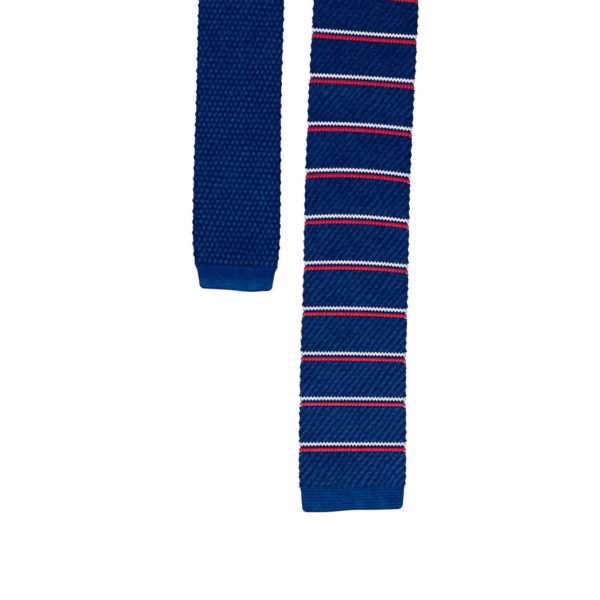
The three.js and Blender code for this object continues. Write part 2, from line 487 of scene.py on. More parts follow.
class SoftNoise:
    """A smooth seeded unevenness: a sum of sine waves in random directions, about -1 to 1."""

    SPREAD = (0.7, 1.6)

    def __init__(self, seed: int, wavelength: float, waves: int = 9) -> None:
        """Draws the waves. Their lengths lie within the spread of the middle one.

        Args:
            seed: the random seed.
            wavelength: the middle wavelength, in the units it is read in.
            waves: how many waves are summed.
        """
        draw = np.random.default_rng(seed)
        angle = draw.uniform(0, 2 * math.pi, waves)
        length = wavelength * draw.uniform(*self.SPREAD, waves)
        self.fx, self.fy = np.cos(angle) / length, np.sin(angle) / length
        self.phase = draw.uniform(0, 2 * math.pi, waves)

    def __call__(self, x: Array, y: Array) -> Array:
        """The unevenness at x and y, which broadcast against each other."""
        total = sum(
            np.sin(2 * math.pi * (fx * x + fy * y) + p) for fx, fy, p in zip(self.fx, self.fy, self.phase)
        )
        return total / math.sqrt(len(self.phase))


@dataclass(frozen=True)
class KnitPattern:
    """The relief of the knit, as a sum of waves over its cells.

    With a the turn across a cell and b the turn along a repeat of two rows, the height is the weighted
    sum of cos(a + b), cos(a - b), cos(2b) and cos(a + 3b). Equal first two weights give a honeycomb of
    staggered bumps; a heavier first one runs the bumps together into ridges that rise to the right.
    depth is the relief's height, repeat the length of two rows and cells their number round the tube.
    sharp narrows the crests' painted highlight, against the pits' painted shade, and strength limits it.
    """

    LOW_AND_HIGH = (0.06, 0.99)

    rising: float
    falling: float
    rows: float
    steep: float
    depth: float
    repeat: float
    cells: int
    sharp: float = 1.4
    strength: float = 0.85

    def shade(self, height: Array) -> Array:
        """How much a place lies on a crest, painted pale: the height between its low and high quantiles,
        sharpened.
        """
        low, high = np.quantile(height, self.LOW_AND_HIGH)
        return self.strength * np.clip((height - low) / (high - low), 0, 1) ** self.sharp

    def height(self, cell: Array, repeat: Array) -> Array:
        """The relief at a place counted in cells and repeats, about -1 to 1."""
        a, b = 2 * math.pi * cell, 2 * math.pi * repeat
        return (
            self.rising * np.cos(a + b)
            + self.falling * np.cos(a - b)
            + self.rows * np.cos(2 * b)
            + self.steep * np.cos(a + 3 * b)
        )


@dataclass(frozen=True)
class Rows:
    """The rings of points that make a tube, one entry a ring.

    course is the distance along the tie, inset how far the ring is drawn in and relief how much of the
    knit's relief it has.
    """

    course: Array
    inset: Array
    relief: Array


def tube_object(
    name: str, points: Array, u: Array, v: Array, relief: Array, hoop: bool = False
) -> bpy.types.Object:
    """A mesh from a grid of points whose second way closes round the tube.

    The rings are joined by quads. The ends are closed by strips of quads from the outer to the inner
    face, or the last ring joins the first where the piece is a hoop.

    Args:
        name: the object's name.
        points: the grid, rings by places round, with a last axis of three.
        u: the first texture coordinate of each place round, and of the first one again.
        v: the second texture coordinate of each ring.
        relief: 0 in a pit to 1 on a crest, for each point, which mixes painted shade and highlight.
        hoop: whether the last ring joins the first.

    Returns:
        The object.
    """
    rings, around = points.shape[:2]
    i = np.arange(rings if hoop else rings - 1)[:, None]
    j = np.arange(around)[None, :]
    here, below, k = i * around, (i + 1) % rings * around, (j + 1) % around
    quads = np.stack([here + j, here + k, below + k, below + j], -1).reshape(-1, 4)
    rise = np.append(v, v[-1] + v[1] - v[0])
    corner_u = np.stack(np.broadcast_arrays(u[j], u[j + 1], u[j + 1], u[j]), -1)
    corner_u = np.broadcast_to(corner_u, (len(i), around, 4)).reshape(-1, 4)
    corner_v = np.stack([rise[i], rise[i], rise[i + 1], rise[i + 1]], -1)
    corner_v = np.broadcast_to(corner_v, (len(i), around, 4)).reshape(-1, 4)
    if not hoop:
        m = np.arange(around // 2 - 1)
        strip = np.stack([m, m + 1, around - 2 - m, around - 1 - m], -1)
        quads = np.concatenate([quads, strip[:, ::-1], strip + (rings - 1) * around])
        corner_u = np.concatenate([corner_u, u[strip[:, ::-1]], u[strip]])
        corner_v = np.concatenate([corner_v, np.full(strip.shape, v[0]), np.full(strip.shape, v[-1])])
    mesh = bpy.data.meshes.new(name)
    mesh.vertices.add(rings * around)
    mesh.vertices.foreach_set("co", points.astype(np.float32).ravel())
    mesh.loops.add(quads.size)
    mesh.loops.foreach_set("vertex_index", quads.astype(np.int32).ravel())
    mesh.polygons.add(len(quads))
    mesh.polygons.foreach_set("loop_start", np.arange(0, quads.size, 4, dtype=np.int32))
    mesh.uv_layers.new(name="UVMap").data.foreach_set(
        "uv", np.stack([corner_u, corner_v], -1).astype(np.float32).ravel()
    )
    mesh.attributes.new("relief", "FLOAT", "POINT").data.foreach_set(
        "value", np.clip(relief, 0, 1).astype(np.float32).ravel()
    )
    mesh.update(calc_edges=True)
    mesh.validate()
    mesh.shade_smooth()
    piece = bpy.data.objects.new(name, mesh)
    bpy.context.scene.collection.objects.link(piece)
    return piece


class ShaderTree:
    """A shader node tree with short calls to add and link nodes."""

    def __init__(self, tree: bpy.types.NodeTree) -> None:
        """Empties the tree.

        Args:
            tree: the tree to build in.
        """
        self.tree = tree
        tree.nodes.clear()

    def node(self, kind: str, settings: dict | None = None, **inputs: object) -> bpy.types.Node:
        """Adds a node and sets or links its inputs.

        Args:
            kind: the node's type without its leading ShaderNode.
            settings: the node's own properties.
            **inputs: values or sockets by input name, spaces as underscores, or by index as in0, in1.

        Returns:
            The node.
        """
        made = self.tree.nodes.new(("" if kind.startswith("Node") else "ShaderNode") + kind)
        for key, value in (settings or {}).items():
            setattr(made, key, value)
        for key, value in inputs.items():
            index = key[2:]
            socket = made.inputs[int(index)] if index.isdigit() else made.inputs[key.replace("_", " ")]
            if isinstance(value, bpy.types.NodeSocket):
                self.tree.links.new(value, socket)
            else:
                socket.default_value = value
        return made

    def sum(self, operation: str, first: object, second: object) -> bpy.types.NodeSocket:
        """The result of a maths node on two numbers or sockets."""
        return self.node("Math", {"operation": operation}, in0=first, in1=second).outputs[0]


def rgba(colour: Colour) -> tuple[float, float, float, float]:
    """A linear colour with an alpha of one."""
    return (*colour, 1.0)


@dataclass(frozen=True)
class YarnGrain:
    """What the noises and the twist of all the yarns have in common.

    The scales of the cloudy mottling, the specks and the fibres are those of the noise nodes on object
    coordinates. cloud_weight weighs the cloud in the mottling, where specks and fibres count one each.
    on_pits is how much of the mottling the pits have; the crests have one more than that. The heather
    colour comes in between two values of the specks, and the tip colour, a painted highlight, from
    tips_from of the way between pit and crest. ply_turn is the slant of the plies in radians, and the
    last two weigh the plies and the fibres in the height.
    """

    cloud: float = 75.0
    specks: float = 620.0
    fibres: float = 1500.0
    detail: float = 2.0
    roughness: float = 0.6
    cloud_weight: float = 0.3
    on_pits: float = 0.35
    heather_from: float = 0.4
    heather_to: float = 0.6
    tips_from: float = 0.5
    ply_turn: float = 0.9
    ply_distortion: float = 2.5
    ply_weight: float = 0.6
    fibre_weight: float = 0.8

    def middle(self) -> float:
        """The mean of the summed noises, each of which lies about a half."""
        return (self.cloud_weight + 2) / 2


def yarn_group() -> bpy.types.NodeTree:
    """The shader group for all the yarns: colour by relief and mottling, and the height of the plies.

    The mix from pit to crest is the relief: the pit colour carries painted shade and the crest colour a
    painted highlight. It is moved by a cloudy noise and two fine ones (specks, and fibres painted as
    catching the light), more so on the crests. The crests turn from one colour to a second one with the
    specks. Where Tipped is one, the yarn reaches its crest colour at half the mix and turns to its tip
    colour, a painted highlight, from there up. The height is a slanted band pattern in the knit's own
    coordinates with fibre noise on it.

    Returns:
        The group, with the inputs Pit, Crest, Heather, Tip, Relief, Mottle, Twist and Tipped, and the
        outputs Colour and Height.
    """
    name = "yarn"
    if name in bpy.data.node_groups:
        return bpy.data.node_groups[name]
    group = bpy.data.node_groups.new(name, "ShaderNodeTree")
    face = group.interface
    for socket, kind in (
        ("Pit", "NodeSocketColor"),
        ("Crest", "NodeSocketColor"),
        ("Heather", "NodeSocketColor"),
        ("Tip", "NodeSocketColor"),
        ("Relief", "NodeSocketFloat"),
        ("Mottle", "NodeSocketFloat"),
        ("Twist", "NodeSocketFloat"),
        ("Tipped", "NodeSocketFloat"),
    ):
        face.new_socket(socket, in_out="INPUT", socket_type=kind)
    face.new_socket("Colour", in_out="OUTPUT", socket_type="NodeSocketColor")
    face.new_socket("Height", in_out="OUTPUT", socket_type="NodeSocketFloat")
    t = ShaderTree(group)
    given = t.node("NodeGroupInput").outputs
    place = t.node("TexCoord").outputs
    grain_and_highlights = YarnGrain()
    noise = {"Vector": place["Object"], "Detail": grain_and_highlights.detail, "Roughness": grain_and_highlights.roughness}
    cloud, speck, fibre = (
        t.node("TexNoise", Scale=scale, **noise).outputs["Fac"]
        for scale in (grain_and_highlights.cloud, grain_and_highlights.specks, grain_and_highlights.fibres)
    )
    both = t.sum("ADD", t.sum("MULTIPLY", cloud, grain_and_highlights.cloud_weight), t.sum("ADD", speck, fibre))
    moved = t.sum("MULTIPLY", t.sum("SUBTRACT", both, grain_and_highlights.middle()), given["Mottle"])
    moved = t.sum("MULTIPLY", moved, t.sum("ADD", given["Relief"], grain_and_highlights.on_pits))
    mix = t.node("Clamp", Value=t.sum("ADD", given["Relief"], moved)).outputs[0]
    hue = t.node("MapRange", Value=speck, From_Min=grain_and_highlights.heather_from, From_Max=grain_and_highlights.heather_to).outputs[0]
    crest = t.node("MixRGB", Fac=hue, Color1=given["Crest"], Color2=given["Heather"]).outputs[0]
    lit = t.node("Clamp", Value=t.sum("MULTIPLY", mix, t.sum("ADD", given["Tipped"], 1.0))).outputs[0]
    body = t.node("MixRGB", Fac=lit, Color1=given["Pit"], Color2=crest).outputs[0]
    above = t.node("MapRange", Value=mix, From_Min=grain_and_highlights.tips_from, From_Max=1.0).outputs[0]
    tips = t.sum("MULTIPLY", above, given["Tipped"])
    colour = t.node("MixRGB", Fac=tips, Color1=body, Color2=given["Tip"]).outputs[0]
    slanted = t.node("Mapping", Vector=place["UV"], Rotation=(0.0, 0.0, grain_and_highlights.ply_turn)).outputs[0]
    wave = {"Scale": given["Twist"], "Distortion": grain_and_highlights.ply_distortion, "Detail": grain_and_highlights.detail}
    ply = t.node("TexWave", Vector=slanted, **wave).outputs["Fac"]
    plies = t.sum("MULTIPLY", ply, grain_and_highlights.ply_weight)
    height = t.sum("ADD", plies, t.sum("MULTIPLY", fibre, grain_and_highlights.fibre_weight))
    t.node("NodeGroupOutput", Colour=colour, Height=height)
    return group


@dataclass(frozen=True)
class YarnFinish:
    """A knitting yarn, painted darker and deeper in the pits of the knit than on its crests: painted shade
    in the pits and a painted highlight on the crests.

    heather is a second crest colour that comes in from speck to speck, and tip a painted highlight
    colour on the highest relief where tipped is one. mottle is the strength of the mottling, twist the
    scale of the plies, and bump the strength of their relief, whose full height is bump_depth.
    """

    name: str
    pit: Colour
    crest: Colour
    heather: Colour
    tip: Colour = (1.0, 1.0, 1.0)
    mottle: float = 1.6
    twist: float = 1.6
    tipped: float = 0.0
    roughness: float = 0.85
    gloss: float = 0.005
    sheen: float = 0.002
    sheen_roughness: float = 0.6
    sheen_tint: Colour = (0.4, 0.6, 1.0)
    bump: float = 0.25
    bump_depth: float = 0.3 * MM

    def material(self) -> bpy.types.Material:
        """Builds the material: the yarn group feeds colour and bump of a rough, faintly sheened cloth.

        Returns:
            The material.
        """
        made = bpy.data.materials.new(self.name)
        made.use_nodes = True
        t = ShaderTree(made.node_tree)
        relief = t.node("Attribute", {"attribute_name": "relief"}).outputs["Fac"]
        yarn = t.node(
            "Group",
            {"node_tree": yarn_group()},
            Pit=rgba(self.pit),
            Crest=rgba(self.crest),
            Heather=rgba(self.heather),
            Tip=rgba(self.tip),
            Relief=relief,
            Mottle=self.mottle,
            Twist=self.twist,
            Tipped=self.tipped,
        )
        height = yarn.outputs["Height"]
        bump = t.node("Bump", Height=height, Strength=self.bump, Distance=self.bump_depth)
        cloth = t.node(
            "BsdfPrincipled",
            Base_Color=yarn.outputs["Colour"],
            Roughness=self.roughness,
            Normal=bump.outputs[0],
            Specular_IOR_Level=self.gloss,
            Sheen_Weight=self.sheen,
            Sheen_Roughness=self.sheen_roughness,
            Sheen_Tint=rgba(self.sheen_tint),
        )
        t.node("OutputMaterial", Surface=cloth.outputs[0])
        return made


# The pit colours carry painted shade and the crest colours a painted highlight; the red's tip colour is a
# painted highlight too.
NAVY_KNIT = YarnFinish(
    "navy_knit",
    pit=(0.0004, 0.0065, 0.0605),
    crest=(0.002, 0.095, 0.275),
    heather=(0.0155, 0.078, 0.297),
)
HEM_KNIT = YarnFinish(
    "hem_knit",
    pit=(0.0, 0.0068, 0.08),
    crest=(0.001, 0.07, 0.24),
    heather=(0.003, 0.062, 0.25),
    mottle=1.2,
    twist=3.0,
    bump=0.15,
)
WHITE_YARN = YarnFinish(
    "white_yarn",
    pit=(0.34, 0.40, 0.52),
    crest=(0.88, 0.93, 0.98),
    heather=(0.86, 0.93, 0.99),
    mottle=0.4,
)
RED_YARN = YarnFinish(
    "red_yarn",
    pit=(0.08, 0.002, 0.034),
    crest=(0.46, 0.006, 0.04),
    heather=(0.49, 0.011, 0.054),
    tip=(0.7, 0.13, 0.24),
    mottle=0.3,
    tipped=1.0,
)

# The front blade's knit has five repeats from one pair of stripes to the next.
FRONT_KNIT = KnitPattern(
    rising=0.7,
    falling=0.07,
    rows=0.18,
    steep=0.23,
    depth=0.45 * MM,
    repeat=TieSizes.stripe_pitch / 5,
    cells=32,
    sharp=1.15,
    strength=0.62,
)
TAIL_KNIT = KnitPattern(
    rising=0.42,
    falling=0.36,
    rows=0.36,
    steep=0.0,
    depth=0.45 * MM,
    repeat=5.9 * MM,
    cells=34,
    sharp=1.7,
)
BAND_KNIT = KnitPattern(
    rising=0.38,
    falling=0.36,
    rows=0.34,
    steep=0.0,
    depth=0.34 * MM,
    repeat=TAIL_KNIT.repeat,
    cells=33,
)


@dataclass(frozen=True)
class SoftSpot:
    """A soft hollow in a blade's outer face, where the knit has painted shade, or a swell, with painted
    light.

    course and across place its middle, and length and width are its reach along and across the tie.
    depth is how far it sinks and shade how much painted shade darkens it; both are below nought for a
    swell, which is painted paler as if lit.
    """

    course: float
    across: float
    length: float
    width: float
    depth: float
    shade: float

    def share(self, course: Array, across: Array) -> Array:
        """How much of the spot there is at a place: a bell of the distance in lengths and widths."""
        along = (course - self.course) / self.length
        aside = (across - self.across) / self.width
        return np.exp(-(along**2) - aside**2)


@dataclass(frozen=True)
class KnitTube:
    """A stretch of the flat knitted tube, in relief.

    The painted sheen is how pale the crests are painted at a share of the blade's length down. haze is a
    painted veil of light: the share of the painted sheen past haze_from, of which it counts haze_limit at
    most, that crests and pits both have. The cells drift from their places by up to about drift cells,
    in waves that are drift_wave cells long, for which a repeat counts as cells_per_repeat cells. Their
    height is uneven by a share of it in waves of uneven_wave cells or rows. scallop is how far the last
    course reaches over what follows, and the spots are hollows and swells of the outer face.
    """

    name: str
    side: Side
    knit: KnitPattern
    seed: int
    painted_sheen: Table = ((0.0, 0.75), (1.0, 0.75))
    spots: tuple[SoftSpot, ...] = ()
    samples_per_cell: int = 4
    uneven: float = 0.3
    uneven_wave: float = 1.4
    drift: float = 0.09
    drift_wave: float = 5.0
    cells_per_repeat: float = 1.7
    scallop: float = 0.8 * MM
    haze: float = 0.0
    haze_from: float = 0.4
    haze_limit: float = 0.5

    def build(self, form: TieForm, rows: Rows) -> bpy.types.Object:
        """Makes the stretch: ovals along the tie, lifted along their normals by the knit's relief.

        The crests are painted paler the further the painted sheen has grown down the blade. The last half
        repeat reaches over what follows in scallops, one a cell: a raised cosine of the turn across the
        cell.

        Args:
            form: places the points.
            rows: its rings.

        Returns:
            The piece.
        """
        around = self.knit.cells * self.samples_per_cell
        turn = (np.arange(around) + 0.5) / around
        course = rows.course[:, None]
        half_width, half_thickness = form.half_sizes(self.side, course)
        inset = rows.inset[:, None]
        across, outward, n_across, n_outward = oval(
            turn[None, :], half_width - inset, half_thickness - inset, form.sizes.edge_share
        )
        cell = -turn[None, :] * self.knit.cells
        repeat = course / self.knit.repeat
        wander = SoftNoise(self.seed, self.drift_wave)(cell, repeat * self.cells_per_repeat)
        drift = wander * self.drift
        lift = 1 + self.uneven * SoftNoise(self.seed + 1, self.uneven_wave)(cell, 2 * repeat)
        height = self.knit.height(cell + drift, repeat + drift / 2) * lift
        # Painted sheen: the crests are painted paler down the blade, and the haze paints a veil of light on
        # pits and crests alike.
        painted_sheen = through(self.painted_sheen)(form.down(self.side, course))
        haze = self.haze * np.clip(painted_sheen - self.haze_from, 0, self.haze_limit)
        relief = (self.knit.shade(height) * painted_sheen + haze) * rows.relief[:, None]
        height = height * rows.relief[:, None] * self.knit.depth
        outer = np.clip(n_outward, 0, 1)
        # A hollow sinks the face and gets painted shade; a swell rises and gets painted light.
        for spot in self.spots:
            share = spot.share(course, across) * outer
            relief = relief * (1 - spot.shade * share)
            height = height - spot.depth * share
        last = np.clip(1 - (rows.course[-1] - course) / (0.5 * self.knit.repeat), 0, 1)
        reach = 0.5 + 0.5 * np.cos(2 * math.pi * (cell + repeat[-1]))
        points = form.points(
            self.side,
            course + last * reach * self.scallop,
            across + n_across * height,
            outward + n_outward * height,
        )
        steps = -np.arange(around + 1) / self.samples_per_cell
        piece = tube_object(f"{self.name}_knit", points, steps, rows.course / self.knit.repeat, relief)
        piece.data.materials.append(NAVY_KNIT.material())
        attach(piece, "root")
        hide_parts(self.name)
        return piece


@dataclass(frozen=True)
class NeckBand:
    """The narrow stretch between the blades, which lies round the neck."""

    samples_per_repeat: int = 6

    def build(self, form: TieForm) -> bpy.types.Object:
        """Args:
            form: places the points.

        Returns:
            The band.
        """
        s = form.sizes
        end = s.band_half_length
        count = round(2 * end / BAND_KNIT.repeat * self.samples_per_repeat)
        course = np.linspace(-end, end, count)
        tube = KnitTube("neck_band", Side.FRONT, BAND_KNIT, seed=3, scallop=0.0)
        piece = tube.build(form, Rows(course, np.zeros(count), np.ones(count)))
        return piece


def stripe_places(form: TieForm) -> list[float]:
    """Where each white stripe's middle lies along the tie, from the end of the front blade up.

    The regular places are moved by the drift of their stretch, a share of the pitch.

    Args:
        form: gives the sizes and how far down the blade a place lies.

    Returns:
        The places, the lowest one first.
    """
    s = form.sizes
    top = s.band_half_length + s.white_height / 2 + 2 * s.clearance
    lowest = s.front_length - s.first_stripe
    regular = lowest - s.stripe_pitch * np.arange(math.ceil((lowest - top) / s.stripe_pitch))
    drift = through(STRIPE_DRIFT)
    return list(regular + s.stripe_pitch * drift(form.down(Side.FRONT, regular)))


@dataclass(frozen=True)
class FrontBlade:
    """The wide blade: the knit between the stripes, with a groove round it for each pair of them.

    The knit has fine rings to a repeat from fine_from on, and coarse ones above. A groove has sides
    that slope over a lip, and between its white stripe and its red one a low ridge, which reaches ridge
    to either side and stands ridge_rise above the groove's bottom.
    """

    hem: bpy.types.Object
    stripes: list[bpy.types.Object]
    fine_from: float = 500 * MM
    fine: int = 8
    coarse: int = 6
    lip: float = 0.1 * MM
    ridge: float = 0.35 * MM
    ridge_rise: float = 0.56 * MM

    def rows(self, form: TieForm) -> Rows:
        """The rings of the blade: evenly spaced knit, then the few of a groove, and so on down.

        Args:
            form: gives the places of the stripes.

        Returns:
            The rings.
        """
        s = form.sizes
        course, inset, relief = [], [], []
        start = s.band_half_length
        bottom_edge = s.front_length - s.hem_length
        depth = s.stripe_depth + s.clearance
        for white in [*reversed(stripe_places(form)), None]:
            end = bottom_edge if white is None else white - s.white_height / 2 - s.clearance
            per_repeat = self.fine if end > self.fine_from else self.coarse
            count = max(3, round((end - start) / FRONT_KNIT.repeat * per_repeat)) + 1
            course += list(np.linspace(start, end, count))
            inset += [0.0] * count
            relief += [1.0] * count
            if white is None:
                break
            between = white + (s.white_height / 2 + s.stripe_step - s.red_height / 2) / 2
            start = white + s.stripe_step + s.red_height / 2 + s.clearance
            course += [end + self.lip, between - self.ridge, between, between + self.ridge, start - self.lip]
            inset += [depth, depth, depth - self.ridge_rise, depth, depth]
            relief += [0.0] * 5
        return Rows(np.array(course), np.array(inset), np.array(relief))

    def build(self, form: TieForm) -> bpy.types.Object:
        """Args:
            form: places the points.

        Returns:
            The blade.
        """
        tube = KnitTube(
            "front_blade",
            Side.FRONT,
            FRONT_KNIT,
            seed=11,
            haze=0.08,
            uneven=0.25,
            # The painted sheen of the crests at each share of the way down.
            painted_sheen=(
                (0.0, 0.6),
                (0.4, 0.5),
                (0.51, 0.39),
                (0.57, 0.48),
                (0.64, 0.53),
                (0.73, 0.75),
                (0.82, 0.9),
                (0.91, 1.14),
                (1.0, 1.16),
            ),
            # Soft hollows with painted shade and swells with painted light.
            spots=(
                SoftSpot(562 * MM, 0.0, 9 * MM, 45 * MM, -0.1 * MM, -0.4),
                SoftSpot(540 * MM, 14 * MM, 6 * MM, 14 * MM, 0.2 * MM, 0.3),
                SoftSpot(625 * MM, -10 * MM, 50 * MM, 12 * MM, 0.2 * MM, 0.2),
                SoftSpot(757 * MM, -14 * MM, 9 * MM, 14 * MM, 0.3 * MM, 0.3),
                SoftSpot(766 * MM, 25 * MM, 12 * MM, 9 * MM, -0.2 * MM, -0.35),
            ),
        )
        piece = tube.build(form, self.rows(form))
        declare_blade(form, Side.FRONT)
        return piece


AREA_SAMPLES = 400


def declare_blade(form: TieForm, side: Side) -> None:
    """Works out a blade's widths at evenly spaced courses, and its full width, and keeps neither.

    Args:
        form: gives its widths.
        side: its side of the tie.
    """
    s = form.sizes
    start, end = s.band_half_length, form.length(side) - s.hem_length
    width = 2 * form.half_sizes(side, np.linspace(start, end, AREA_SAMPLES))[0]
    form.width(side)


@dataclass(frozen=True)
class TailBlade:
    """The narrow plain blade."""

    hem: bpy.types.Object
    samples_per_repeat: int = 8

    def build(self, form: TieForm) -> bpy.types.Object:
        """Args:
            form: places the points.

        Returns:
            The blade.
        """
        s = form.sizes
        start, end = s.band_half_length, s.tail_length - s.hem_length
        count = round((end - start) / TAIL_KNIT.repeat * self.samples_per_repeat)
        course = np.linspace(start, end, count)
        tube = KnitTube(
            "tail_blade",
            Side.TAIL,
            TAIL_KNIT,
            seed=23,
            # The painted sheen of the crests at each share of the way down.
            painted_sheen=((0.0, 0.64), (0.64, 0.64), (0.8, 0.73), (0.93, 0.84), (1.0, 0.88)),
            uneven=0.14,
            drift=0.06,
            # Soft hollows with painted shade and swells with painted light.
            spots=(
                SoftSpot(641 * MM, 2 * MM, 6 * MM, 20 * MM, 0.4 * MM, 0.3),
                SoftSpot(644.5 * MM, 8 * MM, 5 * MM, 9 * MM, 0.4 * MM, 0.45),
                SoftSpot(654 * MM, 19 * MM, 8 * MM, 9 * MM, -0.2 * MM, -0.6),
            ),
        )
        piece = tube.build(form, Rows(course, np.zeros(count), np.ones(count)))
        declare_blade(form, Side.TAIL)
        return piece


@dataclass(frozen=True)
class Hem:
    """The band of fine plain knit on a blade's end: it tapers, has round corners and a folded edge.

    edge is the drop of the folded edge by the place across, as a share of the half width, and glow the
    painted light and shade of the knit by the share of the way down: darker where the face would lie in
    shade, paler where its bulge would catch the light. The knit has courses along the hem and wales
    round it; depth is the ripple of the courses, lines the painted highlight on their crests and check
    that on the wales on them. Soft unevenness lifts and sinks the knit by soft_depth and, by soft_shade,
    paints it paler on the swells and darker in the hollows, as light and shade. The outer face bulges
    over half of its length, from bulge_from on, and the fold keeps a share of the thickness.
    """

    name: str
    side: Side
    seed: int
    edge: Table
    glow: Table
    courses: int = 8
    wales: int = 66
    samples_per_wale: int = 4
    rings: int = 44
    corner_rings: int = 10
    depth: float = 0.05 * MM
    bulge: float = 0.35 * MM
    bulge_from: float = 0.25
    fold_share: float = 0.25
    lines: float = 0.36
    check: float = 0.1
    soft_wave: float = 9 * MM
    soft_depth: float = 0.06 * MM
    soft_shade: float = 0.18

    def build(self, form: TieForm) -> bpy.types.Object:
        """Makes the hem.

        Measured up from the end, the corner and the fold take a quarter circle off the half width and
        the half thickness. The courses are a low cosine ripple along the hem, and the outer face
        bulges by half a sine. The drop of the edge grows with the square of the way down.

        Args:
            form: places the points.

        Returns:
            The piece.
        """
        s = form.sizes
        length, corner, fold = s.hem_length, s.hem_corner, s.hem_thickness / 2
        angle = np.linspace(0, math.pi / 2, self.corner_rings)
        low = corner * (1 - np.cos(angle))
        above = np.concatenate([np.linspace(length, corner, self.rings)[:-1], low[::-1]])
        end_width = s.front_hem_width if self.side is Side.FRONT else s.tail_hem_width
        down = 1 - above / length
        narrow = through(HEM_TAPER)(down)
        in_corner = np.clip(1 - above / corner, 0, 1)
        in_fold = np.clip(1 - above / fold, 0, 1)
        full = form.width(self.side)
        half_width = (full + narrow * (end_width - full)) / 2 - corner * (1 - np.sqrt(1 - in_corner**2))
        half_thickness = fold * np.maximum(self.fold_share, np.sqrt(1 - in_fold**2))
        around = self.wales * self.samples_per_wale
        turn = (np.arange(around) + 0.5) / around
        across, outward, n_across, n_outward = oval(
            turn[None, :], half_width[:, None], half_thickness[:, None], s.edge_share
        )
        ripple = np.cos(2 * math.pi * self.courses * above / length)[:, None]
        wale = np.cos(2 * math.pi * self.wales * turn)[None, :]
        soft = SoftNoise(self.seed, self.soft_wave)(across, above[:, None])
        bulge = self.bulge * np.sin(2 * math.pi * np.clip(down - self.bulge_from, 0, 0.5))[:, None]
        height = ripple * self.depth * (above > fold)[:, None] + self.soft_depth * soft
        height = height + bulge * np.clip(n_outward, 0, 1)
        drop = through(self.edge)(2 * across / end_width)
        course = form.length(self.side) - above[:, None] + drop * down[:, None] ** 2
        points = form.points(self.side, course, across + n_across * height, outward + n_outward * height)
        # Painted light and shade: glow, the painted highlight on the course and wale crests, and the light
        # and shade of the soft swells set how pale the hem is.
        glow = through(self.glow)(down)[:, None]
        grain_and_highlights = self.lines * ripple + self.check * wale * (1 + ripple) + self.soft_shade * soft
        relief = glow * (1 + 2 * glow * grain_and_highlights)
        steps = -np.arange(around + 1) / self.samples_per_wale
        piece = tube_object(f"{self.name}_knit", points, steps, above / length * self.courses, relief)
        piece.data.materials.append(HEM_KNIT.material())
        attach(piece, "root")
        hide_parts(self.name)
        return piece


class StripeKind(Enum):
    """The two contrast yarns of a pair of stripes."""

    WHITE = "white"
    RED = "red"


@dataclass(frozen=True)
class Stitches:
    """How a hoop's stitches show.

    relief is 0 in a pit to 1 on a crest, lift how far the surface is raised, notch how far it is drawn
    up along the blade, and height the share of the hoop's half height that is left.
    """

    relief: Array
    lift: Array | float = 0.0
    notch: Array | float = 0.0
    height: Array | float = 1.0


def white_stitches(rise: Array, legs: Array) -> Stitches:
    """The stitches of a white hoop: painted pale where the profile is high, with painted shade down its
    round sides and a little on the legs.

    Args:
        rise: the profile's height, 0 to 1.
        legs: 0 between the legs to 1 on a leg.

    Returns:
        The stitches.
    """
    full, leg_shade = 1.15, 0.2
    return Stitches(np.clip(full * rise - leg_shade * legs, 0, 1))


def red_stitches(place: Array, legs: Array, fade: Array) -> Stitches:
    """The stitches of a red hoop, which show in its lower half.

    The lower half comes in by a straight ramp from just above the middle. The body has painted shade
    towards both rims by a power of the place, and between the legs. A leg's tip is a bell about a place
    in the lower half, painted pale as a highlight. Between the legs a notch deepens by a straight ramp to
    the lower rim, which starts a third of the way from the middle to it. Where the hoop fades, it is
    paler, most so in the lower half, and thinner.

    Args:
        place: the place across the hoop, -1 at the upper rim to 1 at the lower one.
        legs: 0 between the legs to 1 on a leg.
        fade: how much paler and thinner the hoop is.

    Returns:
        The stitches.
    """
    middle, rim_shade, rim_power, gap_shade = 0.5, 0.45, 1.7, 0.1
    tip_glow, tip_place, tip_reach = 0.6, 0.42, 0.38
    leg_lift, notch_depth, thinning = 0.2 * MM, 0.35 * MM, 0.65
    lower = np.clip(1.8 * place + 0.2, 0, 1)
    # Painted highlight on each leg's tip; painted shade at both rims and between the legs.
    tips = legs**3 * np.exp(-(((place - tip_place) / tip_reach) ** 2))
    body = middle - rim_shade * np.abs(place) ** rim_power - gap_shade * lower * (1 - legs)
    return Stitches(
        relief=np.clip(body + fade * (0.5 + 0.5 * lower) + tip_glow * tips, 0, 1),
        lift=leg_lift * lower * legs,
        notch=notch_depth * (1 - legs) * np.clip(1.5 * place - 0.5, 0, 1),
        height=1 - thinning * fade,
    )


